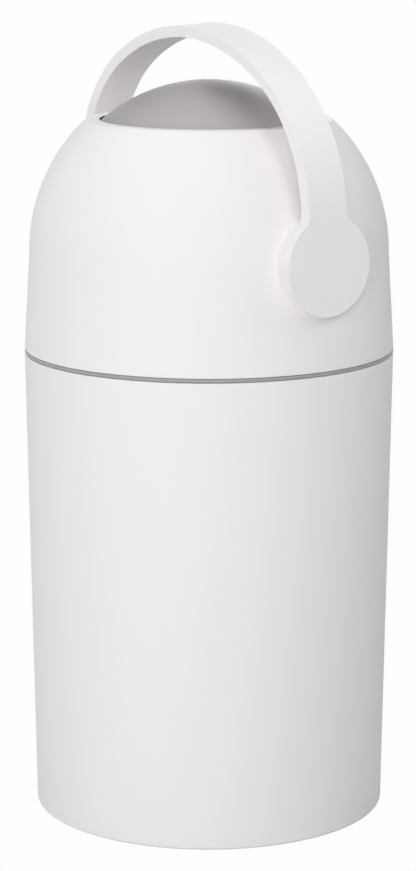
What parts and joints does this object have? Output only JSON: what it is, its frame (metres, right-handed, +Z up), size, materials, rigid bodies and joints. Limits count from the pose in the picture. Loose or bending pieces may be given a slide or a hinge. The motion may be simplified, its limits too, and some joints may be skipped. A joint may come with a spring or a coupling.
{
  "type": "nappy bin",
  "caption": "Tall round odour-sealing nappy bin with a domed lid, a grey ball drum with a chute and piston through it, and an arched handle that turns the drum.",
  "frame": {"origin": "centre of the base, on the floor", "axes": "+Z up the bin, +X along the drum's pivot, +Y along the chute from the mouth where the piston rests"},
  "size_m": [0.3004, 0.29, 0.6211],
  "materials": {
    "white_shell": "satin moulded",
    "white_handle": "satin moulded",
    "grey_ring": "satin moulded",
    "grey_drum": "satin moulded",
    "inner_plastic": "satin moulded",
    "piston_plastic": "satin moulded",
    "bush_plastic": "smooth moulded",
    "seal_rubber": "matte",
    "screw_steel": "zinc plated"
  },
  "bodies": {
    "bin": {"bin_body": "white_shell"},
    "bag_holder": {"bag_ring": "grey_ring"},
    "lid": {"dome_shell": "white_shell", "lid_gasket": "seal_rubber", "top_seal": "seal_rubber", "drum_housing": "inner_plastic", "drop_seal": "seal_rubber", "seal_retainer": "inner_plastic", "retainer_screws": "screw_steel", "housing_screws": "screw_steel", "left_bush": "bush_plastic", "right_bush": "bush_plastic"},
    "drum": {"drum_upper_shell": "grey_drum", "drum_lower_shell": "grey_drum", "chute_tube": "inner_plastic", "front_stop_ring": "grey_drum", "rear_stop_ring": "grey_drum", "left_trunnion": "bush_plastic", "right_trunnion": "bush_plastic", "trunnion_screws": "screw_steel", "handle": "white_handle", "hub_screws": "screw_steel"},
    "piston": {"piston_sleeve": "piston_plastic", "piston_front_cap": "piston_plastic", "piston_rear_cap": "piston_plastic", "front_wiper": "seal_rubber", "rear_wiper": "seal_rubber"}
  },
  "joints": [
    {"name": "bag_ring_lift", "type": "slide", "parent": "bin", "child": "bag_holder", "axis": [0, 0, 1], "range_m": [0, 0.12]},
    {"name": "lid_lift", "type": "slide", "parent": "bag_holder", "child": "lid", "axis": [0, 0, 1], "range_m": [0, 0.15]},
    {"name": "drum_turn", "type": "hinge", "parent": "lid", "child": "drum", "pos_m": [0, 0, 0.4495], "axis": [1, 0, 0], "range_deg": [-92.5, 87.5]},
    {"name": "piston_slide", "type": "slide", "parent": "drum", "child": "piston", "axis": [0, -0.999, -0.0436], "range_m": [-0.1645, 0]}
  ]
}
